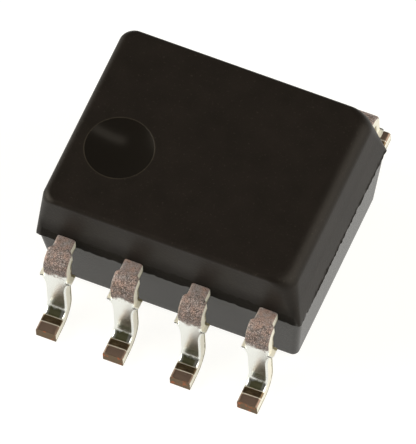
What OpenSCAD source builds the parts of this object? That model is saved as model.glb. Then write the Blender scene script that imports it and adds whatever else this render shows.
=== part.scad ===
// Small-outline isolator chip: a moulded body on eight gull-wing leads, with two light
// emitters facing two detector chips inside it.
// Millimetres, +Z up. The origin is on the seating plane under the middle of the body,
// X runs along the rows of leads and the -Y row holds leads 1 to 4.

/* [Body] */
// Length of the body at its parting plane, level with the leads' underside
body_l = 5.00; // [4.80:0.05:5.60]
// Width of the body at its parting plane
body_w = 3.87; // [3.80:0.01:4.20]
// Gap between the seating plane and the underside of the body
standoff = 0.16; // [0.05:0.01:0.40]
// Height of the moulding above the leads
cover_h = 0.99; // [0.85:0.01:1.60]
// How far the upper half of the moulding stands proud of the lower half
ledge = 0.02; // [0.01:0.005:0.04]
// Draft of the end face beside leads 1 and 8, above the parting plane, in degrees
mark_end_draft = 4.5; // [1:0.5:12]
// Draft of the end face beside leads 4 and 5, above the parting plane, in degrees
far_end_draft = 8.5; // [1:0.5:12]
// Draft of the long faces above the parting plane, in degrees
side_draft = 2.5; // [1:0.5:12]
// Draft of all faces below the parting plane, in degrees
under_draft = 6.5; // [1:0.5:12]
// Plan radius of the upper half's corners at the parting plane
low_corner_r = 0.03; // [0.02:0.01:0.12]
// Plan radius of the upper half's corners at the top face
top_corner_r = 0.36; // [0.25:0.01:0.45]
// Plan radius of the lower half's corners
under_corner_r = 0.12; // [0.10:0.01:0.20]
// Radius of the top face's two long edges
side_edge_r = 0.08; // [0.03:0.01:0.14]
// Radius of the top face's edges at the two ends
end_edge_r = 0.25; // [0.05:0.01:0.30]
// Radius of the edge round the underside
under_edge_r = 0.05; // [0.02:0.01:0.08]

/* [First lead mark] */
// Diameter of the round dish that marks lead 1
mark_d = 1.22; // [0.60:0.02:1.40]
// Depth of the dish in its middle
mark_depth = 0.10; // [0.04:0.01:0.16]
// Distance from the end of the body to the middle of the dish
mark_from_end = 0.99; // [0.96:0.01:1.60]
// Distance from the front of the body to the middle of the dish
mark_from_front = 1.49; // [0.90:0.01:1.90]

/* [Leads] */
// Distance between neighbouring leads
pitch = 1.27; // [1.20:0.01:1.27]
// Distance over the tips of the two rows of leads
lead_span = 5.97; // [5.90:0.01:6.40]
// Thickness of the lead strip
strip_t = 0.23; // [0.15:0.01:0.25]
// Height of the leads' underside where they leave the body
exit_z = 1.58; // [1.40:0.01:2.00]
// Width of a lead where it leaves the body
root_w = 0.34; // [0.28:0.01:0.40]
// Length of that narrow stretch
root_len = 0.21; // [0.12:0.01:0.22]
// Width of a lead over its knee
knee_w = 0.45; // [0.42:0.01:0.54]
// Width over the cut stubs of the dam bar, at the top of the leg
ear_w = 0.61; // [0.56:0.01:0.70]
// Height of the cut stubs along the leg
ear_h = 0.13; // [0.06:0.01:0.20]
// Length of the flare from the knee down to the stubs
flare_len = 0.16; // [0.08:0.01:0.20]
// Length of the curved taper from the stubs down to the leg
taper_len = 0.37; // [0.25:0.01:0.40]
// Width of a lead's leg and foot
foot_w = 0.38; // [0.30:0.01:0.41]
// Length of the flat sole at a lead's tip
foot_flat = 0.315; // [0.25:0.005:0.40]
// Outer radius of the bend at the knee
knee_r = 0.30; // [0.27:0.01:0.34]
// Inner radius of the bend at the heel
heel_r = 0.18; // [0.10:0.01:0.24]

/* [Frame inside the body] */
// Width of a lead's finger inside the body
finger_w = 0.42; // [0.40:0.01:0.50]
// Length of a lead held flat in the wall of the body
grip_len = 0.29; // [0.24:0.01:0.32]
// Length over which a finger is stepped up or down
step_run = 0.36; // [0.30:0.01:0.40]
// Step up of the emitters' frame
upset = 0.42; // [0.38:0.01:0.46]
// Step down of the detectors' frame
downset = 0.50; // [0.46:0.01:0.56]
// Length of an emitter's paddle, along the body
emitter_paddle_l = 0.70; // [0.60:0.01:0.74]
// Width of an emitter's paddle, across the body
emitter_paddle_w = 0.80; // [0.70:0.01:0.84]
// Length of the detectors' common paddle, along the body
common_paddle_l = 2.30; // [2.28:0.01:2.60]
// Width of the detectors' common paddle, across the body
common_paddle_w = 1.10; // [1.06:0.01:1.14]
// Gap between the common paddle and the tips of the fingers beside it
tip_gap = 0.24; // [0.10:0.01:0.26]
// Width of the arm that joins lead 5 to the common paddle
arm_w = 0.34; // [0.20:0.01:0.40]
// Reach of the toe that brings leads 1 and 4 near their emitters
toe_len = 0.48; // [0.40:0.01:0.54]
// Width of that toe
toe_w = 0.34; // [0.24:0.01:0.40]

/* [Chips] */
// Distance between the two channels
channel_gap = 1.16; // [1.10:0.01:1.20]
// Distance of the channels from the middle of the body, towards leads 5 to 8
channel_y = 0.06; // [0.00:0.01:0.08]
// Side of an emitter chip
emitter_side = 0.33; // [0.20:0.01:0.40]
// Thickness of an emitter chip
emitter_t = 0.20; // [0.10:0.01:0.22]
// Length of a detector chip, along the body
detector_l = 0.95; // [0.70:0.01:0.98]
// Width of a detector chip, across the body
detector_w = 0.80; // [0.70:0.01:0.84]
// Thickness of a detector chip
detector_t = 0.25; // [0.15:0.01:0.28]
// Thickness of the adhesive under a chip
bond_t = 0.025; // [0.015:0.005:0.04]
// How far the adhesive spreads past a chip
bond_rim = 0.02; // [0.01:0.005:0.03]
// How far the clear silicone spreads past that adhesive
coat_rim = 0.04; // [0.03:0.005:0.05]
// How far the silicone bulges between the paddles
coat_bulge = 0.03; // [0.01:0.005:0.04]

/* [Wires] */
// Diameter of a bond wire
wire_d = 0.030; // [0.020:0.002:0.040]
// Diameter of the ball at each end of a wire
ball_d = 0.080; // [0.060:0.005:0.090]
// Distance from a ball to the edge of what it is bonded to
bond_edge = 0.02; // [0.01:0.005:0.03]
// Height of that ball
ball_h = 0.020; // [0.010:0.005:0.030]
// Rise of a detector wire above its chip
wire_rise = 0.10; // [0.08:0.01:0.14]
// Drop of an emitter wire below its chip
wire_drop = 0.07; // [0.05:0.01:0.08]

/* [Hidden] */

// Colours
moulding = [0.13, 0.12, 0.11];
tin = [0.80, 0.79, 0.76];
silicon = [0.36, 0.38, 0.44];
emitter_red = [0.55, 0.25, 0.20];
silver_paste = [0.72, 0.72, 0.70];
silicone = [0.85, 0.88, 0.90, 0.45];
gold = [0.90, 0.72, 0.32];

// Heights
exit_top = exit_z + strip_t;
body_top = exit_top + cover_h;
upper_face = exit_z + upset;
lower_face = exit_top - downset;
emitter_face = upper_face - bond_t - emitter_t;
detector_face = lower_face + bond_t + detector_t;

// Places across the body, measured outwards from its middle
tip_u = lead_span / 2;
heel_u = tip_u - foot_flat;
knee_u = heel_u - heel_r - knee_r;
root_u = body_w / 2 + root_len;
knee_flare = (knee_w - root_w) / 2;
flare_u = root_u + knee_flare;
grip_u = body_w / 2 - grip_len;
step_u = grip_u - step_run;

// Heights along the leg
heel_z = heel_r + strip_t;
flare_top = exit_top - knee_r;
ear_top = flare_top - flare_len;
ear_low = ear_top - ear_h;
leg_top = ear_low - taper_len;

// Places of the paddles, chips and bonds
paddle_low = channel_y - detector_w / 2 - (common_paddle_w - detector_w) / 4;
paddle_high = paddle_low + common_paddle_w;
finger_end = paddle_high + tip_gap;
toe_y = channel_y - detector_w / 2 - toe_w / 2;
outer_x = 1.5 * pitch;
inner_x = pitch / 2;
bond_in = ball_d / 2 + bond_edge;

// Smallest piece of a round edge, in degrees
arc_step = 7.5;
cut = 0.01;
slice = 0.001;

// Points of an arc about c from angle a0 to angle a1
function arc(c, r, a0, a1) =
    let (n = round(abs(a1 - a0) / arc_step))
    [for (i = [0:n]) let (a = a0 + (a1 - a0) * i / n) c + r * [cos(a), sin(a)]];

function flip(points) = [for (i = [len(points) - 1:-1:0]) points[i]];

// Side of one formed strip: outward distance against height.
// The inner end is stepped by rise, with a mitre that keeps the strip's thickness.
function strip_side(rise) =
    let (m = strip_t / 2 * tan(atan2(rise, step_run) / 2))
    concat(
        [[-body_w / 2, exit_top + rise], [step_u - m, exit_top + rise], [grip_u + m, exit_top]],
        arc([knee_u, exit_top - knee_r], knee_r, 90, 0),
        arc([heel_u, heel_z], heel_r, 180, 270),
        [[tip_u, strip_t], [tip_u, 0]],
        arc([heel_u, heel_z], heel_r + strip_t, 270, 180),
        arc([knee_u, exit_top - knee_r], knee_r - strip_t, 0, 90),
        [[grip_u - m, exit_z], [step_u + m, exit_z + rise], [-body_w / 2, exit_z + rise]]
    );

// Half of a leg seen from the front: sole, taper, cut stub and knee
function leg_edge() = concat(
    [[foot_w / 2, -cut], [foot_w / 2, leg_top]],
    [for (i = [1:6]) let (a = 15 * i) [
        foot_w / 2 + (ear_w - foot_w) / 2 * (1 - cos(a)), leg_top + (ear_low - leg_top) * sin(a)]],
    [[ear_w / 2, ear_top], [knee_w / 2, flare_top], [knee_w / 2, exit_top + cut]]
);

module front_row_or_back(back) rotate(back ? 180 : 0) children();

module box_2d(x0, x1, y0, y1) translate([x0, y0]) square([x1 - x0, y1 - y0]);

module rounded_box_2d(l, w, r) {
    square([l - 2 * r, w], center = true);
    square([l, w - 2 * r], center = true);
    for (x = [-1, 1], y = [-1, 1])
        translate([x * (l / 2 - r), y * (w / 2 - r)]) circle(r, $fn = 32);
}

// Outline of a lead's blank from above, from its knee to its inner end at y_end
module blank_2d(x, y_end) {
    translate([x, 0]) {
        box_2d(-root_w / 2, root_w / 2, -flare_u, -grip_u);
        polygon([
            [-root_w / 2, -root_u], [root_w / 2, -root_u],
            [knee_w / 2, -flare_u], [knee_w / 2, -flare_u - cut],
            [-knee_w / 2, -flare_u - cut], [-knee_w / 2, -flare_u]
        ]);
        box_2d(-finger_w / 2, finger_w / 2, -grip_u, y_end);
    }
}

// A lead formed from its blank (children) at x on its row
module lead(x, back, rise) {
    color(tin) front_row_or_back(back) intersection() {
        translate([x, 0, 0]) rotate([90, 0, -90])
            linear_extrude(2 * body_l, center = true) polygon(strip_side(rise));
        union() {
            linear_extrude(body_top) children();
            translate([x, -flare_u, 0]) rotate([90, 0, 0]) linear_extrude(tip_u)
                polygon(concat(leg_edge(), flip([for (p = leg_edge()) [-p.x, p.y]])));
        }
    }
}

// Leads 1 and 4 carry a toe that reaches towards the emitter's wire
module toe_lead(side) {
    lead(side * outer_x, false, upset) {
        blank_2d(side * outer_x, toe_y + toe_w / 2);
        translate([side * outer_x, toe_y])
            box_2d(min(0, -side * (toe_len + finger_w / 2)), max(0, -side * (toe_len + finger_w / 2)),
                -toe_w / 2, toe_w / 2);
    }
}

// Leads 2 and 3 end in an emitter's paddle
module paddle_lead(side) {
    lead(side * inner_x, false, upset) {
        blank_2d(side * inner_x, channel_y);
        translate([side * channel_gap / 2, channel_y])
            square([emitter_paddle_l, emitter_paddle_w], center = true);
    }
}

// Lead 5 carries the detectors' common paddle on an arm; its row is turned round, so x is negative
module common_lead() {
    lead(-outer_x, true, -downset) {
        blank_2d(-outer_x, -paddle_high + arm_w);
        box_2d(-common_paddle_l / 2, common_paddle_l / 2, -paddle_high, -paddle_low);
        box_2d(-outer_x, 0, -paddle_high, -paddle_high + arm_w);
    }
}

// Leads 6, 7 and 8 end in plain fingers
module finger_lead(x) lead(x, true, -downset) blank_2d(x, -finger_end);

module lead_1() toe_lead(-1);
module lead_2() paddle_lead(-1);
module lead_3() paddle_lead(1);
module lead_4() toe_lead(1);
module lead_5() common_lead();
module lead_6() finger_lead(-inner_x);
module lead_7() finger_lead(inner_x);
module lead_8() finger_lead(outer_x);

module leads() {
    lead_1();
    lead_2();
    lead_3();
    lead_4();
    lead_5();
    lead_6();
    lead_7();
    lead_8();
}

// How far a rounded edge of radius r has drawn in at height z of a face that is h high
function edge_inset(z, h, r) = r * (1 - sqrt(max(0, 1 - pow(max(0, z - h + r) / r, 2))));

// One moulded half, h high, on a base l long and w wide. The angles are the drafts of the end
// at -X, of the end at +X and of the two long faces. Its plan corners open from radius c0 to c1.
module half_shell(l, w, h, angles, end_r, side_r, c0, c1) {
    hull() for (z = concat([slice], [for (r = [end_r, side_r], a = [0:10:90]) h - r + r * sin(a)])) {
        x0 = z * tan(angles[0]) + edge_inset(z, h, end_r) - l / 2;
        x1 = l / 2 - z * tan(angles[1]) - edge_inset(z, h, end_r);
        y1 = w / 2 - z * tan(angles[2]) - edge_inset(z, h, side_r);
        translate([(x0 + x1) / 2, 0, z - slice]) linear_extrude(slice)
            rounded_box_2d(x1 - x0, 2 * y1, c0 + (c1 - c0) * z / h - edge_inset(z, h, side_r));
    }
}

// The clear silicone that carries the light, between the common paddle and the emitters' paddles
module coat_form() {
    l = channel_gap + detector_l + 2 * (bond_rim + coat_rim);
    w = detector_w + 2 * (bond_rim + coat_rim);
    h = upper_face - lower_face;
    translate([0, channel_y, lower_face]) hull() {
        linear_extrude(cut) rounded_box_2d(l, w, 2 * coat_rim);
        translate([0, 0, h * 0.35]) linear_extrude(cut)
            rounded_box_2d(l + 2 * coat_bulge, w + 2 * coat_bulge, 2 * coat_rim);
        translate([0, 0, h - cut]) linear_extrude(cut)
            rounded_box_2d(l - 4 * coat_rim, w - 4 * coat_rim, 2 * coat_rim);
    }
}

module mark_dish() {
    r = (pow(mark_d / 2, 2) + pow(mark_depth, 2)) / (2 * mark_depth);
    translate([mark_from_end - body_l / 2, mark_from_front - body_w / 2, body_top - mark_depth + r])
        sphere(r, $fn = 160);
}

module body() {
    color(moulding) difference() {
        translate([0, 0, exit_z]) union() {
            half_shell(body_l, body_w, body_top - exit_z, [mark_end_draft, far_end_draft, side_draft],
                end_edge_r, side_edge_r, low_corner_r, top_corner_r);
            mirror([0, 0, 1]) half_shell(body_l - 2 * ledge, body_w - 2 * ledge, exit_z - standoff,
                under_draft * [1, 1, 1], under_edge_r, under_edge_r, under_corner_r, under_corner_r);
        }
        mark_dish();
        leads();
        coat_form();
        wires();
    }
}

module emitter(side) {
    color(emitter_red) translate([side * channel_gap / 2, channel_y, emitter_face + emitter_t / 2])
        cube([emitter_side, emitter_side, emitter_t], center = true);
}

module emitter_bond(side) {
    spread = emitter_side + 2 * bond_rim;
    color(silver_paste) translate([side * channel_gap / 2, channel_y, upper_face - bond_t / 2])
        cube([spread, spread, bond_t], center = true);
}

module detector(side) {
    color(silicon) translate([side * channel_gap / 2, channel_y, detector_face - detector_t / 2])
        cube([detector_l, detector_w, detector_t], center = true);
}

module detector_bond(side) {
    color(silver_paste) translate([side * channel_gap / 2, channel_y, lower_face + bond_t / 2])
        cube([detector_l + 2 * bond_rim, detector_w + 2 * bond_rim, bond_t], center = true);
}

module clear_coat() {
    color(silicone) difference() {
        coat_form();
        for (side = [-1, 1]) {
            emitter(side);
            emitter_bond(side);
            detector(side);
            detector_bond(side);
        }
        wires();
    }
}

// A bond wire from a to b. It leaves both bonds upright, with a ball on each, and
// bows by bow above (or, when negative, below) the chip it starts on.
module wire(a, b, bow) {
    sides = 6;
    steps = 8;
    way = sign(bow);
    reach = norm([b.x - a.x, b.y - a.y]);
    along = [b.x - a.x, b.y - a.y, 0] / reach;
    across = [-along.y, along.x, 0];
    a1 = [0, a.z + way * ball_h];
    b1 = [reach, b.z + way * ball_h];
    crown = a.z + bow;
    turn = 0.12 * reach;
    // The wire's line in its own upright plane, as distance along and height
    line = concat(
        [[0, a.z], a1],
        [for (i = [0:steps]) let (s = i / steps, u = turn * (1 - s) + (reach - turn) * s)
            [u, crown * pow(1 - s, 2) + 2 * crown * s * (1 - s) + (b1.y + way * ball_h) * s * s]],
        [b1, [reach, b.z]]
    );
    last = len(line) - 1;
    points = [for (i = [0:last]) let (
        end = i <= 1 || i >= last - 1,
        d = end ? [0, i <= 1 ? way : -way] : (line[i + 1] - line[i - 1]) / norm(line[i + 1] - line[i - 1]),
        r = end ? ball_d / 2 : wire_d / 2,
        normal = along * -d.y + [0, 0, d.x],
        c = a + along * line[i].x + [0, 0, line[i].y - a.z])
        for (k = [0:sides - 1]) c + r * (cos(360 * k / sides) * across + sin(360 * k / sides) * normal)];
    faces = concat(
        [[for (k = [0:sides - 1]) k]],
        [for (i = [0:last - 1], k = [0:sides - 1]) let (n = (k + 1) % sides)
            [i * sides + k, (i + 1) * sides + k, (i + 1) * sides + n]],
        [for (i = [0:last - 1], k = [0:sides - 1]) let (n = (k + 1) % sides)
            [i * sides + k, (i + 1) * sides + n, i * sides + n]],
        [[for (k = [sides - 1:-1:0]) last * sides + k]]
    );
    color(gold) polyhedron(points, faces);
}

// Bond spots on the back edge of a detector: supply, output and ground, from its middle outwards
function pad(side, dx) =
    [side * channel_gap / 2 + dx, channel_y + detector_w / 2 - bond_in, detector_face];

module emitter_wire(side) wire(
    [side * channel_gap / 2, channel_y, emitter_face],
    [side * (outer_x - finger_w / 2 - toe_len + bond_in + ball_d), toe_y, upper_face], -wire_drop);

module output_wire(side) wire(
    pad(side, 0), [side * inner_x, finger_end + bond_in, lower_face], wire_rise);

module ground_wire(side) wire(
    pad(side, side * detector_l / 4), [side * (channel_gap / 2 + detector_l / 4), paddle_high - bond_in,
    lower_face], wire_rise);

module supply_wire() wire(
    pad(-1, bond_in - detector_l / 2), [-outer_x, finger_end + bond_in, lower_face], wire_rise);

module supply_link() wire(
    pad(-1, detector_l / 2 - bond_in), pad(1, bond_in - detector_l / 2), wire_rise);

module wires() {
    for (side = [-1, 1]) {
        emitter_wire(side);
        output_wire(side);
        ground_wire(side);
    }
    supply_wire();
    supply_link();
}

body();
lead_1();
lead_2();
lead_3();
lead_4();
lead_5();
lead_6();
lead_7();
lead_8();
emitter(-1);  // emitter_1
emitter(1);  // emitter_2
emitter_bond(-1);  // emitter_bond_1
emitter_bond(1);  // emitter_bond_2
detector(-1);  // detector_1
detector(1);  // detector_2
detector_bond(-1);  // detector_bond_1
detector_bond(1);  // detector_bond_2
clear_coat();
emitter_wire(-1);  // emitter_wire_1
emitter_wire(1);  // emitter_wire_2
output_wire(-1);  // output_wire_1
output_wire(1);  // output_wire_2
ground_wire(-1);  // ground_wire_1
ground_wire(1);  // ground_wire_2
supply_wire();
supply_link();
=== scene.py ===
import math
import bpy
import numpy as np
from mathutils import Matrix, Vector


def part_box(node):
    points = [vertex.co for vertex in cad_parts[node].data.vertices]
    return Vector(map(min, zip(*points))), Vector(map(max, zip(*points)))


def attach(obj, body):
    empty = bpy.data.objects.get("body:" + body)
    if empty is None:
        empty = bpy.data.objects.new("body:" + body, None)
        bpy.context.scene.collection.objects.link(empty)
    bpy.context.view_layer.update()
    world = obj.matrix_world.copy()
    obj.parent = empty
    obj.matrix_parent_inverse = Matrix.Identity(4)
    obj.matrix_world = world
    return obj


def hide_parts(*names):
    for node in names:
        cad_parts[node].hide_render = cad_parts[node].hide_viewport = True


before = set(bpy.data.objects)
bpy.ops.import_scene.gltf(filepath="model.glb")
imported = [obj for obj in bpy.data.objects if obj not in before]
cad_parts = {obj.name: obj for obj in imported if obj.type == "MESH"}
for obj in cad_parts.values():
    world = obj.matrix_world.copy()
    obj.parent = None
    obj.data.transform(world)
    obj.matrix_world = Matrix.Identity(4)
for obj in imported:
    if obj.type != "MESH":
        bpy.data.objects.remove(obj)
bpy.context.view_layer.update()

# Camera and stage.
# The chip stands on a lit white table in a dim room, and a long lens looks down on its
# first row of leads. The table is white to the eye and keeps a faint shadow.
MM = 0.001


def add(tree, kind, inputs=None, **settings):
    """Adds one node, gives it its settings, and links or fills its inputs."""
    made = tree.nodes.new(kind)
    for name, value in settings.items():
        setattr(made, name, value)
    for name, value in (inputs or {}).items():
        if isinstance(value, bpy.types.NodeSocket):
            tree.links.new(value, made.inputs[name])
        else:
            made.inputs[name].default_value = value
    return made


def paint(code):
    """An sRGB hex colour as linear red, green, blue and alpha."""
    shares = [int(code[i:i + 2], 16) / 255 for i in (1, 3, 5)]
    return [c / 12.92 if c < 0.04045 else ((c + 0.055) / 1.055) ** 2.4 for c in shares] + [1.0]


azimuth, elevation, roll = (math.radians(a) for a in (26.07, 59.68, 3.27))
distance, view_height = 240 * MM, 7.722 * MM
aim = np.array([0, 0, 1.5 * MM])
backward = np.array([
    math.sin(azimuth) * math.cos(elevation), -math.cos(azimuth) * math.cos(elevation),
    math.sin(elevation)])
level = np.array([math.cos(azimuth), math.sin(azimuth), 0])
upright = np.cross(backward, level)
rightward = math.cos(roll) * level - math.sin(roll) * upright
upward = math.sin(roll) * level + math.cos(roll) * upright
lens = bpy.data.cameras.new("camera")
lens.sensor_width = 36
lens.lens = lens.sensor_width * distance / view_height
lens.shift_x, lens.shift_y = -0.0084, -0.0635
lens.clip_start, lens.clip_end = 10 * MM, 20
camera = bpy.data.objects.new("camera", lens)
bpy.context.scene.collection.objects.link(camera)
bpy.context.scene.camera = camera
placing = np.eye(4)
placing[:3, :3] = np.column_stack([rightward, upward, backward])
placing[:3, 3] = aim + distance * backward
camera.matrix_world = placing.T.tolist()
bpy.context.scene.view_settings.view_transform = "Standard"

table_half = 2.0
table_mesh = bpy.data.meshes.new("table")
table_mesh.from_pydata(
    [(-table_half, -table_half, 0), (table_half, -table_half, 0),
     (table_half, table_half, 0), (-table_half, table_half, 0)], [], [(0, 1, 2, 3)])
table = bpy.data.objects.new("table", table_mesh)
bpy.context.scene.collection.objects.link(table)

# Lit acrylic: it glows to the eye and in reflections, and is plain white paint to soft light.
eye_glow, mirror_glow = 0.92, 0.76
seen_white, plain_white = 0.22, 0.80
acrylic = bpy.data.materials.new("lit_acrylic")
acrylic.use_nodes = True
tree = acrylic.node_tree
tree.nodes.clear()
path = add(tree, "ShaderNodeLightPath")
mirrored = add(tree, "ShaderNodeMath", {
    0: path.outputs["Is Glossy Ray"], 1: path.outputs["Is Transmission Ray"]}, operation="MAXIMUM")
glow = add(tree, "ShaderNodeMath", {0: mirrored.outputs[0], 1: mirror_glow}, operation="MULTIPLY")
glow = add(tree, "ShaderNodeMath", {
    0: path.outputs["Is Camera Ray"], 1: eye_glow, 2: glow.outputs[0]}, operation="MULTIPLY_ADD")
glow = add(tree, "ShaderNodeEmission", {"Color": paint("#FFFEFA"), "Strength": glow.outputs[0]})
seen = add(tree, "ShaderNodeMath", {
    0: path.outputs["Is Camera Ray"], 1: mirrored.outputs[0]}, operation="MAXIMUM")
shade = add(tree, "ShaderNodeMath", {
    0: seen.outputs[0], 1: seen_white - plain_white, 2: plain_white}, operation="MULTIPLY_ADD")
shade = add(tree, "ShaderNodeCombineColor", {i: shade.outputs[0] for i in (0, 1, 2)})
shade = add(tree, "ShaderNodeBsdfDiffuse", {"Color": shade.outputs[0]})
both = add(tree, "ShaderNodeAddShader", {0: glow.outputs[0], 1: shade.outputs[0]})
add(tree, "ShaderNodeOutputMaterial", {"Surface": both.outputs[0]})
table_mesh.materials.append(acrylic)

# Dim room: weak light from all round and a glow that grows down to the horizon, a broad window to
# the left, a weaker one to the right, and a narrow strip light overhead, which only polished
# faces show.
room = bpy.data.worlds.new("room")
bpy.context.scene.world = room
room.use_nodes = True
tree = room.node_tree
tree.nodes.clear()
toward = add(tree, "ShaderNodeTexCoord")
toward = add(tree, "ShaderNodeVectorMath", {0: toward.outputs["Generated"]}, operation="NORMALIZE")


def glowing_patch(direction, edge, core, strength):
    """Light from a round patch of the room: none where the cosine of the angle from its middle is
    at edge, rising smoothly to its strength where the cosine is at core."""
    facing = add(tree, "ShaderNodeVectorMath", {0: toward.outputs[0], 1: direction},
                 operation="DOT_PRODUCT")
    return add(tree, "ShaderNodeMapRange", {
        "Value": facing.outputs["Value"], "From Min": edge, "From Max": core, "To Max": strength},
        interpolation_type="SMOOTHSTEP")


all_round = glowing_patch((0, 0, 1), -1.5, -1.0, 0.07)
horizon = glowing_patch((0, 0, 1), 0.35, 0.0, 0.10)
left_window = glowing_patch((-0.91, -0.25, 0.33), 0.76, 0.91, 4.3)
right_window = glowing_patch((0.92, 0.10, 0.38), 0.72, 0.90, 2.6)
overhead = glowing_patch((0.07, 0.26, 0.96), 0.92, 0.97, 1.3)
tube_side, tube_core, tube_edge = (0, 0.966, -0.26), 0.055, 0.095
slant = add(tree, "ShaderNodeVectorMath", {0: toward.outputs[0], 1: tube_side},
            operation="DOT_PRODUCT")
slant = add(tree, "ShaderNodeMath", {0: slant.outputs["Value"]}, operation="ABSOLUTE")
slant = add(tree, "ShaderNodeMapRange", {
    "Value": slant.outputs[0], "From Min": tube_core, "From Max": tube_edge, "To Min": 1.0,
    "To Max": 0.0}, interpolation_type="SMOOTHSTEP")
overhead = add(tree, "ShaderNodeMath", {0: overhead.outputs[0], 1: slant.outputs[0]},
               operation="MULTIPLY")
light = all_round
for patch in (horizon, left_window, right_window, overhead):
    light = add(tree, "ShaderNodeMath", {0: light.outputs[0], 1: patch.outputs[0]},
                operation="ADD")
path = add(tree, "ShaderNodeLightPath")
light = add(tree, "ShaderNodeMix", {
    "Factor": path.outputs["Is Camera Ray"], "A": light.outputs[0], "B": 1.0})
glow = add(tree, "ShaderNodeBackground", {"Color": paint("#FFFCF6"), "Strength": light.outputs[0]})
add(tree, "ShaderNodeOutputWorld", {"Surface": glow.outputs[0]})


# Leads.
# Eight strips stamped from one sheet of copper alloy, plated with matte tin, then cut free of
# the dam bar and bent into gull wings. Inside the body they end in fingers and paddles.
low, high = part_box("lead_6")
# Sizes are in millimetres, and a place's distance out is measured from the body's middle.
strip_t = 0.23
tip_u = high.y / MM
exit_top = high.z / MM
ear_w = (high.x - low.x) / MM
body_low, body_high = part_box("body")
wall_u = body_high.y / MM
pitch = 1.27
outer_x, inner_x = 1.5 * pitch, 0.5 * pitch
foot_w, foot_flat, heel_r = 0.38, 0.315, 0.18
ear_h, flare_len, taper_len = 0.13, 0.16, 0.37
knee_w, knee_r = 0.45, 0.30
root_w, root_len = 0.34, 0.21
tool_mark, heel_mark, mark_slant = 0.185, foot_flat + 0.02, 0.02
finger_w, grip_len, step_run = 0.42, 0.29, 0.36
upset, downset = 0.42, 0.50


def rounded_loop(corner_steps, side_steps):
    """A rounded rectangle as four arrays. A point is (px, py) times half the size less the corner
    radius, plus the radius times (qx, qy). It starts at the +x side and runs towards +y."""
    px, py, qx, qy = [], [], [], []
    corners = [(1, 1), (-1, 1), (-1, -1), (1, -1)]
    for i, (sx, sy) in enumerate(corners):
        turn = math.pi / 2 * (i + np.arange(corner_steps + 1) / corner_steps)
        px.append(np.full(turn.shape, float(sx)))
        py.append(np.full(turn.shape, float(sy)))
        qx.append(np.cos(turn))
        qy.append(np.sin(turn))
        ahead = corners[(i + 1) % 4]
        share = np.arange(1, side_steps[i % 2]) / side_steps[i % 2]
        px.append(sx + (ahead[0] - sx) * share)
        py.append(sy + (ahead[1] - sy) * share)
        qx.append(np.full(share.shape, math.cos(math.pi / 2 * (i + 1))))
        qy.append(np.full(share.shape, math.sin(math.pi / 2 * (i + 1))))
    return [np.concatenate(a) for a in (px, py, qx, qy)]


def ripple(points, size, seed):
    """A smooth random field over points, of about that size: the sum of count plane waves in
    random directions, over the root of half their count, which gives it a spread of about 1."""
    count = 24
    chance = np.random.default_rng(seed)
    ways = chance.normal(size=(count, 3))
    ways /= np.linalg.norm(ways, axis=1)[:, None]
    waves = 2 * np.pi / (size * chance.uniform(0.7, 1.5, count))
    phase = chance.uniform(0, 2 * np.pi, count)
    return np.sin(points @ (ways * waves[:, None]).T + phase).sum(-1) / math.sqrt(count / 2)


def tube(name, rings, maps=()):
    """A closed surface through rings of points in millimetres, each ring joined to the next, with
    a flat cap on the first and the last. The rings run right-handed about the way they are stacked.
    maps lists pairs of a UV map's name and its two numbers at each point."""
    count, size = rings.shape[:2]
    ids = np.arange(count * size).reshape(count, size)
    right = np.roll(ids, -1, axis=1)
    quads = np.stack([ids[:-1], right[:-1], right[1:], ids[1:]], axis=-1).reshape(-1, 4)
    faces = [ids[0][::-1].tolist()] + quads.tolist() + [ids[-1].tolist()]
    mesh = bpy.data.meshes.new(name)
    mesh.from_pydata(rings.reshape(-1, 3) * MM, [], faces)
    corners = np.empty(len(mesh.loops), np.int32)
    mesh.loops.foreach_get("vertex_index", corners)
    for title, pairs in maps:
        layer = mesh.uv_layers.new(name=title)
        layer.data.foreach_set("uv", pairs.reshape(-1, 2)[corners].astype(np.float32).ravel())
    piece = bpy.data.objects.new(name, mesh)
    bpy.context.scene.collection.objects.link(piece)
    return piece


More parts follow.
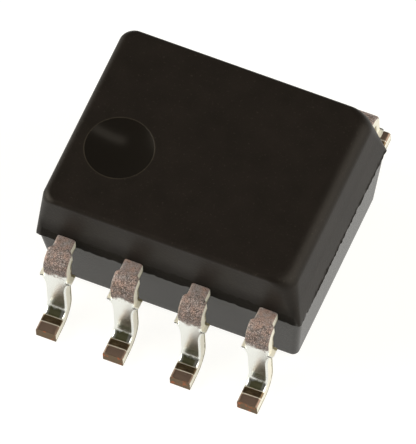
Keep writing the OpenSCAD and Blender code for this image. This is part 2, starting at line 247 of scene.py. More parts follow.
def strip_line(rise, stops):
    """The strip's middle line from its cut tip inwards: length along it, place (distance out and
    height) and the direction of its upper face. Straight runs and quarter bends follow each other.
    Inside the body the line steps by rise, with mitres that keep the strip's thickness, and stops
    lists the distances out at which its width changes."""
    half, run_step, bend_steps = strip_t / 2, 0.012, 30
    knee_z, flat_z = exit_top - knee_r, exit_top - half
    heel_u, grip_u = tip_u - foot_flat, wall_u - grip_len
    leg_u, heel_z = heel_u - heel_r - half, heel_r + strip_t
    knee_u = heel_u - heel_r - knee_r

    def run(a, b):
        count = max(2, int(math.dist(a, b) / run_step))
        share = np.linspace(0, 1, count, endpoint=False)[:, None]
        return np.array(a) * (1 - share) + np.array(b) * share

    def bend(centre, radius, start, end):
        turn = np.radians(np.linspace(start, end, bend_steps, endpoint=False))
        return np.stack([centre[0] + radius * np.cos(turn), centre[1] + radius * np.sin(turn)], 1)

    parts = [
        run((tip_u, half), (heel_u, half)),
        bend((heel_u, heel_z), heel_r + half, 270, 180),
        run((leg_u, heel_z), (leg_u, knee_z)),
        bend((knee_u, knee_z), knee_r - half, 0, 90),
        run((knee_u, flat_z), (grip_u, flat_z)),
        run((grip_u, flat_z), (grip_u - step_run, flat_z + rise))]
    ends, inner_z = [grip_u - step_run] + stops, flat_z + rise
    hair = 0.001  # the two points of a sudden change of width lie this far to each side of it
    for a, b in zip(ends[:-1], ends[1:]):
        parts += [run((a - hair, inner_z), (b + hair, inner_z)), [[b + hair, inner_z]]]
    places = np.concatenate(parts)
    ways = np.diff(places, axis=0)
    steps = np.linalg.norm(ways, axis=1)
    ways /= steps[:, None]
    before, after = np.concatenate([ways[:1], ways]), np.concatenate([ways, ways[-1:]])
    mean = before + after
    mean /= np.linalg.norm(mean, axis=1)[:, None]
    stretch = 1 / np.sum(mean * after, axis=1)
    upper = np.stack([mean[:, 1], -mean[:, 0]], 1) * stretch[:, None]
    return np.concatenate([[0], np.cumsum(steps)]), places, upper


def blank_edges(places, fingers):
    """Left and right edge of a lead's blank at each place on its line. Outside the body it is as
    wide on both sides: the leg's taper is a quarter ellipse and the other changes are straight.
    fingers lists its stretches inside the body: where each starts, its left and its right edge."""
    out, height = places.T
    ear_top = exit_top - knee_r - flare_len
    ear_low = ear_top - ear_h
    rise = np.clip((height - ear_low + taper_len) / taper_len, 0, 1)
    leg = foot_w / 2 + (ear_w - foot_w) / 2 * (1 - np.sqrt(1 - rise ** 2))
    knee = np.interp(height, [ear_top, ear_top + flare_len], [ear_w / 2, knee_w / 2])
    root_u = wall_u + root_len
    root = np.interp(out, [root_u, root_u + (knee_w - root_w) / 2], [root_w / 2, knee_w / 2])
    half = np.where(height > ear_low, np.minimum(knee, root), leg)
    left, right = -half, half
    for start, near, far in fingers:
        left, right = np.where(out < start, near, left), np.where(out < start, far, right)
    return left, right


def lead(name, x, back, rise, fingers, inner_u, seed):
    """One lead: a rounded rectangle carried along the strip's line, as wide as its blank. The punch
    rolled its upper edges, its upper face is a little uneven, and the forming tool left two ridges
    across its foot. Its maps give the length along and the place across, and which face it is."""
    s, places, upper = strip_line(rise, [f[0] for f in fingers[1:]] + [inner_u])
    left, right = (edge[:, None] for edge in blank_edges(places, fingers))
    px, py, qx, qy = rounded_loop(6, (16, 8))
    rolled_r, sharp_r = 0.050, 0.012
    radius = np.where(py > 0, rolled_r, sharp_r)
    across = px * ((right - left) / 2 - radius) + qx * radius
    thick = py * (strip_t / 2 - radius) + qy * radius
    local = np.stack(np.broadcast_arrays(across, thick, s[:, None]), -1)
    uneven, uneven_size, ridge_high, ridge_half, fade_in = 0.0012, 0.5, 0.004, 0.010, 0.05
    outside = np.clip((places[:, :1] - wall_u) / fade_in, 0, 1)
    swell = uneven * ripple(local, uneven_size, seed)
    for mark in (tool_mark, heel_mark):
        off = s[:, None] - mark - mark_slant * across
        swell = swell + ridge_high * np.exp(-(off / ridge_half) ** 2)
    thick = thick + outside * swell * np.clip(qy, 0, 1)
    ring = np.empty(across.shape + (3,))
    ring[..., 0] = x + (left + right) / 2 + across
    ring[..., 1] = -(places[:, :1] + thick * upper[:, :1])
    ring[..., 2] = places[:, 1:] + thick * upper[:, 1:]
    if back:
        ring[..., :2] *= -1
    flow = np.stack(np.broadcast_arrays(s[:, None], across), -1)
    side = np.stack(np.broadcast_arrays(np.abs(qx), thick / strip_t), -1)
    return tube(name, ring[:, ::-1], (("strip", flow[:, ::-1]), ("edge", side[:, ::-1])))


channel_gap, channel_y = 1.16, 0.06
grip_u = wall_u - grip_len
finger = (grip_u, -finger_w / 2, finger_w / 2)
toe_len, toe_w, detector_w = 0.48, 0.34, 0.80
toe_y = channel_y - detector_w / 2 - toe_w / 2
emitter_paddle_l, emitter_paddle_w = 0.70, 0.80
common_paddle_l, common_paddle_w, arm_w, tip_gap = 2.30, 1.10, 0.34, 0.24
paddle_low = channel_y - detector_w / 2 - (common_paddle_w - detector_w) / 4
paddle_high = paddle_low + common_paddle_w
paddle_start = -channel_y + emitter_paddle_w / 2
shift = inner_x - channel_gap / 2
reach = outer_x + common_paddle_l / 2
toe_left = (-toe_y + toe_w / 2, -finger_w / 2, toe_len + finger_w / 2)
toe_right = (toe_left[0], -toe_left[2], -toe_left[1])
paddle_left = (paddle_start, shift - emitter_paddle_l / 2, shift + emitter_paddle_l / 2)
paddle_right = (paddle_start, -paddle_left[2], -paddle_left[1])
arm = (paddle_high, -finger_w / 2, reach)
common = (paddle_high - arm_w, reach - common_paddle_l, reach)
finger_end = paddle_high + tip_gap
# For each lead: its place along the row, whether it is in the back row, the step up or down of its
# inner part, its stretches inside the body, and how far in it reaches.
lead_plans = [
    (-outer_x, False, upset, [finger, toe_left], -toe_y - toe_w / 2),
    (-inner_x, False, upset, [finger, paddle_left], -channel_y - emitter_paddle_w / 2),
    (inner_x, False, upset, [finger, paddle_right], -channel_y - emitter_paddle_w / 2),
    (outer_x, False, upset, [finger, toe_right], -toe_y - toe_w / 2),
    (-outer_x, True, -downset, [finger, arm, common], paddle_low),
    (-inner_x, True, -downset, [finger], finger_end),
    (inner_x, True, -downset, [finger], finger_end),
    (outer_x, True, -downset, [finger], finger_end)]


def new_finish(name):
    """A new material with an empty node tree, and the node that gives a place in millimetres."""
    made = bpy.data.materials.new(name)
    made.use_nodes = True
    nodes = made.node_tree
    nodes.nodes.clear()
    spot = add(nodes, "ShaderNodeTexCoord")
    spot = add(nodes, "ShaderNodeVectorMath", {0: spot.outputs["Object"], "Scale": 1 / MM},
               operation="SCALE")
    return made, nodes, spot


# Matte tin over copper alloy. On the leg it is a smooth, almost white metal. Over the root and the
# knee it is a dull pinkish grey, crazed where the bend strained it. The heel's bend carries a
# painted reflection of the dark room in dark olive, and the foot is dark brown.
# The punched sides are pale and satin, with a ragged burr along their lower edge painted a darker
# olive grey as shade, and the cut tips and stubs show dark copper.
# Tin's crystals are some 5 micrometres across, too fine to show, so the crazing is drawn in plates
# of about 40. The blotches are about 0.1 mm across, and the rubs over the foot 0.01 mm wide.
tin, tree, place = new_finish("matte_tin")
blotches_per_mm, plates_per_mm, rubs_per_mm = 9.0, 26.0, (90, 9, 0)
ragged = 0.45
strip = add(tree, "ShaderNodeUVMap", uv_map="strip")
strip = add(tree, "ShaderNodeSeparateXYZ", {0: strip.outputs[0]})
edge = add(tree, "ShaderNodeUVMap", uv_map="edge")
edge = add(tree, "ShaderNodeSeparateXYZ", {0: edge.outputs[0]})
cloud = add(tree, "ShaderNodeTexNoise", {
    "Vector": place.outputs[0], "Scale": blotches_per_mm, "Detail": 5.0, "Roughness": 0.65})
torn = add(tree, "ShaderNodeMath", {0: cloud.outputs[0], 1: ragged, 2: -ragged / 2},
           operation="MULTIPLY_ADD")
torn = add(tree, "ShaderNodeMath", {0: torn.outputs[0], 1: strip.outputs[0]}, operation="ADD")
warp = add(tree, "ShaderNodeVectorMath", {0: cloud.outputs[1], "Scale": 0.16}, operation="SCALE")
warp = add(tree, "ShaderNodeVectorMath", {0: place.outputs[0], 1: warp.outputs[0]}, operation="ADD")
crystals = add(tree, "ShaderNodeTexVoronoi", {"Vector": warp.outputs[0], "Scale": plates_per_mm},
               feature="DISTANCE_TO_EDGE")
streaks = add(tree, "ShaderNodeVectorMath", {0: rubs_per_mm}, operation="MULTIPLY")
tree.links.new(add(tree, "ShaderNodeUVMap", uv_map="strip").outputs[0], streaks.inputs[1])
streaks = add(tree, "ShaderNodeTexNoise", {
    "Vector": streaks.outputs[0], "Scale": 1.0, "Detail": 2.0})

# Lengths along the strip from its tip: where the heel's bend ends, where the leg would be at
# height 0, and the top and the bottom of the stub left of the dam bar.
heel_s = foot_flat + math.pi / 2 * (heel_r + strip_t / 2)
leg_s = heel_s - heel_r - strip_t
stub_high = leg_s + exit_top - knee_r - flare_len
stub_low = stub_high - ear_h
dull = add(tree, "ShaderNodeMapRange", {
    "Value": torn.outputs[0], "From Min": stub_high, "From Max": stub_high + 0.10})
strain = add(tree, "ShaderNodeMapRange", {
    "Value": torn.outputs[0], "From Min": stub_high + 0.55, "From Max": stub_high + 0.12,
    "To Min": 0.06, "To Max": 0.34})
crazed = add(tree, "ShaderNodeMapRange", {
    "Value": crystals.outputs["Distance"], "From Min": 0.01, "From Max": strain.outputs[0],
    "To Min": 1.0, "To Max": 0.0})
crazed = add(tree, "ShaderNodeMath", {
    0: crazed.outputs[0], 1: dull.outputs[0]}, operation="MULTIPLY")
blush = add(tree, "ShaderNodeMapRange", {
    "Value": cloud.outputs[0], "From Min": 0.35, "From Max": 0.65})
blush = add(tree, "ShaderNodeMix", {
    "Factor": blush.outputs[0], 6: paint("#B9B0AC"), 7: paint("#C3A596")}, data_type="RGBA")
foot = add(tree, "ShaderNodeMapRange", {
    "Value": strip.outputs[0], "From Min": foot_flat + 0.05, "From Max": foot_flat + 0.01})
middle = add(tree, "ShaderNodeMath", {0: strip.outputs[1]}, operation="ABSOLUTE")
middle = add(tree, "ShaderNodeMapRange", {
    "Value": middle.outputs[0], "From Min": foot_w / 2 - 0.03, "From Max": foot_w / 4})
# Painted reflection: the middle of the heel's bend is painted dark olive, standing in for the dark
# room it mirrors.
painted_heel_reflection = add(tree, "ShaderNodeMapRange", {
    "Value": torn.outputs[0], "From Min": heel_s - 0.10, "From Max": heel_s - 0.20})
painted_heel_reflection = add(tree, "ShaderNodeMath", {
    0: painted_heel_reflection.outputs[0], 1: middle.outputs[0]}, operation="MULTIPLY")
outer = add(tree, "ShaderNodeMapRange", {
    "Value": strip.outputs[0], "From Min": tool_mark + 0.03, "From Max": tool_mark - 0.02})
smear = add(tree, "ShaderNodeMapRange", {
    "Value": streaks.outputs[0], "From Min": 0.3, "From Max": 0.7})
smear = add(tree, "ShaderNodeMix", {
    "Factor": smear.outputs[0], 6: paint("#5A4B3C"), 7: paint("#8C7758")}, data_type="RGBA")
pale = add(tree, "ShaderNodeMix", {
    "Factor": smear.outputs[0], 6: paint("#7C6558"), 7: paint("#A8917F")}, data_type="RGBA")
lines = []
for mark in (tool_mark, heel_mark):
    line = add(tree, "ShaderNodeMath", {0: strip.outputs[1], 1: -mark_slant, 2: -mark},
               operation="MULTIPLY_ADD")
    line = add(tree, "ShaderNodeMath", {0: line.outputs[0], 1: strip.outputs[0]}, operation="ADD")
    line = add(tree, "ShaderNodeMath", {0: line.outputs[0]}, operation="ABSOLUTE")
    lines.append(add(tree, "ShaderNodeMapRange", {
        "Value": line.outputs[0], "From Min": 0.012, "From Max": 0.004}))
lines = add(tree, "ShaderNodeMath", {0: lines[0].outputs[0], 1: lines[1].outputs[0]},
            operation="MAXIMUM")
sheared = add(tree, "ShaderNodeMapRange", {
    "Value": edge.outputs[0], "From Min": 0.86, "From Max": 0.97})
# The burr along the lower edge of the punched sides is real, but its darker olive grey is painted
# shade along that edge.
burr_and_shade = add(tree, "ShaderNodeMath", {
    0: cloud.outputs[0], 1: 0.5, 2: edge.outputs[1]}, operation="MULTIPLY_ADD")
burr_and_shade = add(tree, "ShaderNodeMapRange", {
    "Value": burr_and_shade.outputs[0], "From Min": 0.02, "From Max": -0.06})
burr_and_shade = add(tree, "ShaderNodeMath", {
    0: burr_and_shade.outputs[0], 1: sheared.outputs[0]}, operation="MULTIPLY")
stub = add(tree, "ShaderNodeMath", {
    0: strip.outputs[0], 1: -(stub_low + stub_high) / 2}, operation="ADD")
stub = add(tree, "ShaderNodeMath", {0: stub.outputs[0]}, operation="ABSOLUTE")
stub = add(tree, "ShaderNodeMapRange", {
    "Value": stub.outputs[0], "From Min": ear_h / 2 - 0.01, "From Max": ear_h / 2 - 0.04})
stub = add(tree, "ShaderNodeMath", {0: stub.outputs[0], 1: burr_and_shade.outputs[0]}, operation="MULTIPLY")
tip = add(tree, "ShaderNodeMapRange", {
    "Value": strip.outputs[0], "From Min": 0.006, "From Max": 0.002})
bare = add(tree, "ShaderNodeMapRange", {
    "Value": cloud.outputs[0], "From Min": 0.54, "From Max": 0.64})
bare = add(tree, "ShaderNodeMix", {
    "Factor": bare.outputs[0], 6: paint("#6E5A41"), 7: paint("#B9602C")}, data_type="RGBA")

# The bare leg, and over it, from the first to the last: dull root and knee, crazing, the heel's
# painted reflection, foot, its outer end, tool marks, punched sides, burrs with painted shade, stub
# and cut tip.
colour, metal, rough = paint("#F6F8F3"), 1.0, 0.26
for mask, shade, metallic, roughness in (
        (dull.outputs[0], blush.outputs[2], 0.45, 0.55),
        (crazed.outputs[0], paint("#4A3F37"), 0.6, 0.45),
        (painted_heel_reflection.outputs[0], paint("#7E7D5E"), 1.0, 0.3),
        (foot.outputs[0], smear.outputs[2], 1.0, 0.30),
        (outer.outputs[0], pale.outputs[2], 0.95, 0.36),
        (lines.outputs[0], paint("#E2DAC6"), 0.4, 0.45),
        (sheared.outputs[0], paint("#FBF7E6"), 0.25, 0.42),
        (burr_and_shade.outputs[0], paint("#A09878"), 0.5, 0.5),
        (stub.outputs[0], bare.outputs[2], 0.8, 0.5),
        (tip.outputs[0], bare.outputs[2], 0.8, 0.5)):
    colour = add(tree, "ShaderNodeMix", {
        "Factor": mask, 6: colour, 7: shade}, data_type="RGBA").outputs[2]
    metal = add(tree, "ShaderNodeMix", {"Factor": mask, "A": metal, "B": metallic}).outputs[0]
    rough = add(tree, "ShaderNodeMix", {"Factor": mask, "A": rough, "B": roughness}).outputs[0]
raised = add(tree, "ShaderNodeMath", {
    0: crystals.outputs["Distance"], 1: dull.outputs[0]}, operation="MULTIPLY")
raised = add(tree, "ShaderNodeMath", {
    0: cloud.outputs[0], 1: 0.15, 2: raised.outputs[0]}, operation="MULTIPLY_ADD")
bump = add(tree, "ShaderNodeBump", {
    "Height": raised.outputs[0], "Strength": 0.6, "Distance": 0.012 * MM})
shader = add(tree, "ShaderNodeBsdfPrincipled", {
    "Base Color": colour, "Metallic": metal, "Roughness": rough, "Normal": bump.outputs[0]})
add(tree, "ShaderNodeOutputMaterial", {"Surface": shader.outputs[0]})

for number, (x, back, rise, fingers, inner_u) in enumerate(lead_plans, 1):
    piece = lead(f"formed_lead_{number}", x, back, rise, fingers, inner_u, number)
    piece.data.shade_smooth()
    piece.data.set_sharp_from_angle(angle=math.radians(40))
    piece.data.materials.append(tin)
    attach(piece, "root")
    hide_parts(f"lead_{number}")


# Chips and their bonds.
# Two light emitters of gallium arsenide hang under the upper paddles and two silicon detectors lie
# on the lower one. Each is stuck down with epoxy full of silver flakes.
paste, tree, place = new_finish("silver_filled_epoxy")
# Silver flakes of about 10 micrometres, drawn at 25 so that they show: a dull grey that glitters.
flakes = add(tree, "ShaderNodeTexVoronoi", {"Vector": place.outputs[0], "Scale": 40.0})
glitter = add(tree, "ShaderNodeMapRange", {
    "Value": flakes.outputs["Distance"], "To Min": 0.25, "To Max": 0.6})
colour = add(tree, "ShaderNodeMix", {
    "Factor": flakes.outputs["Distance"], 6: paint("#D5D5D0"), 7: paint("#8F8E88")},
    data_type="RGBA")
shader = add(tree, "ShaderNodeBsdfPrincipled", {
    "Base Color": colour.outputs[2], "Metallic": 0.7, "Roughness": glitter.outputs[0]})
add(tree, "ShaderNodeOutputMaterial", {"Surface": shader.outputs[0]})

arsenide, tree, place = new_finish("gallium_arsenide")
# Sawn and etched crystal: a dark reddish grey with saw lines about 30 micrometres apart on its
# sides.
sawn = add(tree, "ShaderNodeTexWave", {
    "Vector": place.outputs[0], "Scale": 10.0, "Distortion": 2.0}, bands_direction="Z")
colour = add(tree, "ShaderNodeMix", {
    "Factor": sawn.outputs[1], 6: paint("#5E3A34"), 7: paint("#7A5148")}, data_type="RGBA")
bump = add(tree, "ShaderNodeBump", {
    "Height": sawn.outputs[1], "Strength": 0.4, "Distance": 0.002 * MM})
shader = add(tree, "ShaderNodeBsdfPrincipled", {
    "Base Color": colour.outputs[2], "Metallic": 0.4, "Roughness": 0.3, "Normal": bump.outputs[0]})
add(tree, "ShaderNodeOutputMaterial", {"Surface": shader.outputs[0]})

silicon, tree, place = new_finish("etched_silicon")
# Polished silicon under glassy layers: blue-grey, with blocks of circuit about 60 micrometres long
# between paler metal tracks.
blocks = add(tree, "ShaderNodeTexBrick", {
    "Vector": place.outputs[0], "Scale": 1.0, "Brick Width": 0.06, "Row Height": 0.03,
    "Mortar Size": 0.004,
    "Color1": paint("#3C4350"), "Color2": paint("#55505E"), "Mortar": paint("#A9A79C")})
shader = add(tree, "ShaderNodeBsdfPrincipled", {
    "Base Color": blocks.outputs[0], "Metallic": 0.6, "Roughness": 0.18})
add(tree, "ShaderNodeOutputMaterial", {"Surface": shader.outputs[0]})

for channel in (1, 2):
    for node, finish in (
            (f"emitter_bond_{channel}", paste), (f"detector_bond_{channel}", paste),
            (f"emitter_{channel}", arsenide), (f"detector_{channel}", silicon)):
        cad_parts[node].material_slots[0].material = finish


# Bond wires.
# Gold wire, 30 micrometres thick, pressed to a chip's pad and to a finger with a ball at each end.
gold, tree, place = new_finish("bonding_gold")
# Drawn wire: bright yellow metal, faintly cloudy where it was heated for the balls.
cloud = add(tree, "ShaderNodeTexNoise", {"Vector": place.outputs[0], "Scale": 12.0, "Detail": 3.0})
haze = add(tree, "ShaderNodeMapRange", {"Value": cloud.outputs[0], "To Min": 0.12, "To Max": 0.34})
colour = add(tree, "ShaderNodeMix", {
    "Factor": cloud.outputs[0], 6: paint("#F2C766"), 7: paint("#E4AE4B")}, data_type="RGBA")
shader = add(tree, "ShaderNodeBsdfPrincipled", {
    "Base Color": colour.outputs[2], "Metallic": 1.0, "Roughness": haze.outputs[0]})
add(tree, "ShaderNodeOutputMaterial", {"Surface": shader.outputs[0]})
for node in ("emitter_wire_1", "emitter_wire_2", "output_wire_1", "output_wire_2",
             "ground_wire_1", "ground_wire_2", "supply_wire", "supply_link"):
    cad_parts[node].material_slots[0].material = gold


# Clear coat.
# A drop of soft silicone poured between the paddles. It carries the light across and keeps the
# mould compound off the chips.
gel, tree, place = new_finish("clear_silicone")
# Cured silicone gel: water-clear and wet-looking, with a skin that ripples every 0.2 mm or so.
skin = add(tree, "ShaderNodeTexNoise", {"Vector": place.outputs[0], "Scale": 5.0, "Detail": 2.0})
bump = add(tree, "ShaderNodeBump", {
    "Height": skin.outputs[0], "Strength": 0.3, "Distance": 0.01 * MM})
shader = add(tree, "ShaderNodeBsdfPrincipled", {
    "Base Color": paint("#F4F6F4"), "Roughness": 0.06, "IOR": 1.41, "Transmission Weight": 0.9,
    "Normal": bump.outputs[0]})
add(tree, "ShaderNodeOutputMaterial", {"Surface": shader.outputs[0]})
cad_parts["clear_coat"].material_slots[0].material = gel


# Body.
# Two halves of black mould compound closed over the leads in one shot. The upper half overhangs the
# lower one a little at a ragged parting line, and a shallow polished dish marks the first lead.
body_l, body_w = (2 * c / MM for c in (body_high.x, body_high.y))
body_top, standoff = body_high.z / MM, body_low.z / MM
exit_z = exit_top - strip_t
ledge = 0.02
low_corner_r, top_corner_r, under_corner_r = 0.03, 0.36, 0.12
mark_end_draft, far_end_draft, side_draft, under_draft = (
    math.tan(math.radians(a)) for a in (4.5, 8.5, 2.5, 6.5))
end_edge_r, side_edge_r, under_edge_r = 0.25, 0.08, 0.05
mark_edge_r, mark_corner_r = 0.14, 0.26
mark_r, mark_depth = 0.61, 0.10
mark_x, mark_y = 0.99 - body_l / 2, 1.49 - body_w / 2


def edge_inset(z, h, r):
    """How far a rounded edge has drawn in at height z of a face h high: the sagitta of a circle."""
    return r * (1 - np.sqrt(1 - np.clip((z - h + r) / r, 0, 1) ** 2))


body_loop = rounded_loop(12, (90, 120))


def half_shell(l, w, h, tans, edge_rs, low_r, high_rs):
    """Rings of one moulded half from its base upwards, as plan points and heights above the base.
    A ring is a rounded rectangle that draws in by its drafts and by its rounded upper edge. tans
    and edge_rs are for the -x end, the +x end and the sides. A corner's radius goes from low_r at
    the base to one of high_rs, at the -x and the +x end, and less what its edge draws in."""
    near_r, far_r, side_r = edge_rs
    turn = np.radians(np.arange(0, 91, 6))
    z = np.unique(np.concatenate([
        np.linspace(0, h - far_r, 18, endpoint=False), h - far_r + far_r * np.sin(turn),
        h - near_r + near_r * np.sin(turn), h - side_r + side_r * np.sin(turn)]).round(6))[:, None]
    px, py, qx, qy = body_loop
    x0 = z * tans[0] + edge_inset(z, h, near_r) - l / 2
    x1 = l / 2 - z * tans[1] - edge_inset(z, h, far_r)
    y1 = w / 2 - z * tans[2] - edge_inset(z, h, side_r)
    high_r = np.where(px < 0, high_rs[0], high_rs[1])
    corner = low_r + (high_r - low_r) * z / h - edge_inset(z, h, side_r)
    x = (x0 + x1) / 2 + px * ((x1 - x0) / 2 - corner) + qx * corner
    y = py * (y1 - corner) + qy * corner
    return np.stack(np.broadcast_arrays(x, y, z), -1)


upper = half_shell(
    body_l, body_w, body_top - exit_z, (mark_end_draft, far_end_draft, side_draft),
    (mark_edge_r, end_edge_r, side_edge_r), low_corner_r, (mark_corner_r, top_corner_r))
upper[..., 2] += exit_z
lower = half_shell(
    body_l - 2 * ledge, body_w - 2 * ledge, exit_z - standoff, (under_draft,) * 3,
    (under_edge_r,) * 3, under_corner_r, (under_corner_r,) * 2)
lower[..., 2] = exit_z - lower[..., 2]

# The overhanging edge is chipped: it is drawn in by up to 0.02 mm, in nicks about 0.1 mm long that
# fade out over the lowest four rings.
nick_depth, nick_height, nick_rings = 0.012, 0.03, 4
nicks = 0.5 + 0.5 * ripple(upper[0], 0.16, 71) + 0.35 * ripple(upper[0], 0.07, 72)
nicks = np.clip(nicks, 0, 1.6)
fade = np.exp(-((upper[:nick_rings, :, 2] - exit_z) / nick_height) ** 2)
inward = -np.stack([body_loop[2], body_loop[3]], -1)
upper[:nick_rings, :, :2] += nick_depth * (nicks * fade)[..., None] * inward

# The top's rings shrink from its outline to the dish's rim, with one close outside the rim to keep
# it crisp. The dish's rings shrink to its middle, and its depth falls off as a parabola.
crisp = 0.006
away = upper[-1] - [mark_x, mark_y, body_top]
away = away[:, :2] / np.linalg.norm(away[:, :2], axis=1)[:, None]
rim = np.concatenate([[mark_x, mark_y] + mark_r * away, np.full((len(away), 1), body_top)], 1)
share = np.concatenate([np.linspace(0, 0.96, 12)[1:], [0.99, 1.0]])[:, None, None]
top = upper[-1] * (1 - share) + rim * share
top[-2] = rim + np.concatenate([crisp * away, np.zeros((len(away), 1))], 1)
ratio = np.concatenate([[0.992, 0.98, 0.96], np.linspace(0.93, 0.02, 26)])
dish = np.empty((len(ratio),) + rim.shape)
dish[..., :2] = [mark_x, mark_y] + ratio[:, None, None] * mark_r * away
dish[..., 2] = body_top - mark_depth * (1 - ratio[:, None] ** 2)
spread = np.array([0.05, 0.3, 0.6, 0.85])[:, None, None]
underside = lower[-1] * spread
underside[..., 2] = standoff
body = tube("moulded_body", np.concatenate([underside, lower[::-1], upper, top, dish]))

# Black epoxy filled with ground silica. The tool's eroded walls leave it matt and finely grained,
# the lower half came out smoother, the band by the leads is broken and dull and is painted darker
# as the shade at the parting step, the long sides are darker and rougher low down, and the dish is
# polished, with a painted highlight on its rim. The silica is 10 to 50 micrometres across, and its
# grain is drawn at 50 to show.
epoxy, tree, place = new_finish("black_mould_compound")
grains_per_mm, patches_per_mm, tears_per_mm, ragged = 20.0, 2.2, 6.0, 0.22
end_from, end_full = 2.37, 2.43
axes = add(tree, "ShaderNodeSeparateXYZ", {0: place.outputs[0]})
grain = add(tree, "ShaderNodeTexNoise", {
    "Vector": place.outputs[0], "Scale": grains_per_mm, "Detail": 3.0, "Roughness": 0.7})
patches = add(tree, "ShaderNodeTexNoise", {
    "Vector": place.outputs[0], "Scale": patches_per_mm, "Detail": 4.0})
torn = add(tree, "ShaderNodeTexNoise", {
    "Vector": place.outputs[0], "Scale": tears_per_mm, "Detail": 4.0, "Roughness": 0.7})
torn = add(tree, "ShaderNodeMath", {0: torn.outputs[0], 1: ragged, 2: -ragged / 2},
           operation="MULTIPLY_ADD")
torn = add(tree, "ShaderNodeMath", {0: torn.outputs[0], 1: axes.outputs[2]}, operation="ADD")
along = add(tree, "ShaderNodeMath", {0: axes.outputs[0]}, operation="ABSOLUTE")
at_end = add(tree, "ShaderNodeMapRange", {
    "Value": along.outputs[0], "From Min": end_from, "From Max": end_full})
band_top = add(tree, "ShaderNodeMix", {
    "Factor": at_end.outputs[0], "A": exit_top + 0.02, "B": exit_z + 0.07})
past = add(tree, "ShaderNodeMath", {
    0: torn.outputs[0], 1: band_top.outputs[0]}, operation="SUBTRACT")
# Painted shade: the band is painted near black for the shade at the parting step, on top of its
# real broken, dull surface.
band = add(tree, "ShaderNodeMapRange", {
    "Value": past.outputs[0], "From Min": 0.03, "From Max": -0.03})
above = add(tree, "ShaderNodeMapRange", {
    "Value": axes.outputs[2], "From Min": exit_z - 0.012, "From Max": exit_z - 0.002})
band = add(tree, "ShaderNodeMath", {0: band.outputs[0], 1: above.outputs[0]}, operation="MULTIPLY")
corner = add(tree, "ShaderNodeMapRange", {
    "Value": axes.outputs[1], "From Min": -1.1, "From Max": -1.5})
corner = add(tree, "ShaderNodeMath", {
    0: corner.outputs[0], 1: at_end.outputs[0]}, operation="MULTIPLY")
corner = add(tree, "ShaderNodeMath", {0: 1.0, 1: corner.outputs[0]}, operation="SUBTRACT")
band = add(tree, "ShaderNodeMath", {0: band.outputs[0], 1: corner.outputs[0]}, operation="MULTIPLY")
below = add(tree, "ShaderNodeMapRange", {
    "Value": axes.outputs[2], "From Min": exit_z - 0.002, "From Max": exit_z - 0.012})
radial = add(tree, "ShaderNodeVectorMath", {
    0: place.outputs[0], 1: (mark_x, mark_y, body_top)}, operation="SUBTRACT")
radial = add(tree, "ShaderNodeVectorMath", {
    0: radial.outputs[0], 1: (1, 1, 0)}, operation="MULTIPLY")
radial = add(tree, "ShaderNodeVectorMath", {0: radial.outputs[0]}, operation="LENGTH")
polish = add(tree, "ShaderNodeMapRange", {
    "Value": radial.outputs["Value"], "From Min": mark_r + 0.004, "From Max": mark_r - 0.004})
high = add(tree, "ShaderNodeMapRange", {
    "Value": axes.outputs[2], "From Min": body_top - mark_depth - 0.02,
    "From Max": body_top - mark_depth - 0.01})
polish = add(tree, "ShaderNodeMath", {
    0: polish.outputs[0], 1: high.outputs[0]}, operation="MULTIPLY")
# Painted highlight: a thin, patchy pale ring just outside the dish's rim stands in for the light
# caught by its rounded lip.
painted_rim_highlight = add(tree, "ShaderNodeMath", {
    0: radial.outputs["Value"], 1: -mark_r - 0.008}, operation="ADD")
painted_rim_highlight = add(tree, "ShaderNodeMath", {0: painted_rim_highlight.outputs[0]}, operation="ABSOLUTE")
painted_rim_highlight = add(tree, "ShaderNodeMapRange", {
    "Value": painted_rim_highlight.outputs[0], "From Min": 0.014, "From Max": 0.004})
painted_rim_highlight = add(tree, "ShaderNodeMath", {
    0: painted_rim_highlight.outputs[0], 1: high.outputs[0]}, operation="MULTIPLY")
painted_rim_highlight = add(tree, "ShaderNodeMath", {
    0: painted_rim_highlight.outputs[0], 1: patches.outputs[0]}, operation="MULTIPLY")
# The long sides get darker and rougher towards their bottom, with a ragged top to the change, and
# not at the ends.
rough_dark_low_sides = add(tree, "ShaderNodeMapRange", {
    "Value": torn.outputs[0], "From Min": 2.30, "From Max": 1.84}, interpolation_type="SMOOTHSTEP")
sides = add(tree, "ShaderNodeMath", {0: 1.0, 1: at_end.outputs[0]}, operation="SUBTRACT")
rough_dark_low_sides = add(tree, "ShaderNodeMath", {
    0: rough_dark_low_sides.outputs[0], 1: sides.outputs[0]}, operation="MULTIPLY")
rough_dark_low_sides = add(tree, "ShaderNodeMath", {
    0: rough_dark_low_sides.outputs[0], 1: above.outputs[0]}, operation="MULTIPLY")
mottle = add(tree, "ShaderNodeMapRange", {
    "Value": patches.outputs[0], "From Min": 0.3, "From Max": 0.7})
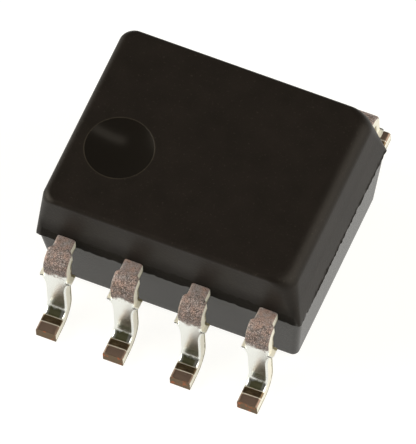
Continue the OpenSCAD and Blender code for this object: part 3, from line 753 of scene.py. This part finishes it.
mottle = add(tree, "ShaderNodeMix", {
    "Factor": mottle.outputs[0], 6: paint("#1A1612"), 7: paint("#201B17")}, data_type="RGBA")
flecks = add(tree, "ShaderNodeMapRange", {
    "Value": grain.outputs[0], "From Min": 0.60, "From Max": 0.72, "To Max": 0.5})
# The matt upper half, and over it, from the first to the last: flecks, the smoother lower half,
# the darker, rougher low long sides, the broken band with its painted shade, the polished dish and
# the painted highlight on its rim.
colour, rough = mottle.outputs[2], 0.42
for mask, shade, roughness in (
        (flecks.outputs[0], paint("#3F3A31"), 0.45),
        (below.outputs[0], paint("#211E1A"), 0.27),
        (rough_dark_low_sides.outputs[0], paint("#14110E"), 0.66),
        (band.outputs[0], paint("#120F0C"), 0.85),
        (polish.outputs[0], paint("#1A1713"), 0.17),
        (painted_rim_highlight.outputs[0], paint("#3E382E"), 0.5)):
    colour = add(tree, "ShaderNodeMix", {
        "Factor": mask, 6: colour, 7: shade}, data_type="RGBA").outputs[2]
    rough = add(tree, "ShaderNodeMix", {"Factor": mask, "A": rough, "B": roughness}).outputs[0]
smooth = add(tree, "ShaderNodeMath", {0: 1.0, 1: polish.outputs[0]}, operation="SUBTRACT")
raised = add(tree, "ShaderNodeMath", {0: band.outputs[0], 1: 3.0, 2: 1.0}, operation="MULTIPLY_ADD")
raised = add(tree, "ShaderNodeMath", {
    0: raised.outputs[0], 1: grain.outputs[0]}, operation="MULTIPLY")
raised = add(tree, "ShaderNodeMath", {
    0: raised.outputs[0], 1: smooth.outputs[0]}, operation="MULTIPLY")
bump = add(tree, "ShaderNodeBump", {
    "Height": raised.outputs[0], "Strength": 0.35, "Distance": 0.010 * MM})
shader = add(tree, "ShaderNodeBsdfPrincipled", {
    "Base Color": colour, "Roughness": rough, "Specular IOR Level": 0.2,
    "Specular Tint": paint("#FFF6E8"), "Normal": bump.outputs[0]})
add(tree, "ShaderNodeOutputMaterial", {"Surface": shader.outputs[0]})
body.data.shade_smooth()
body.data.set_sharp_from_angle(angle=math.radians(40))
body.data.materials.append(epoxy)
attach(body, "root")
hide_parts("body")
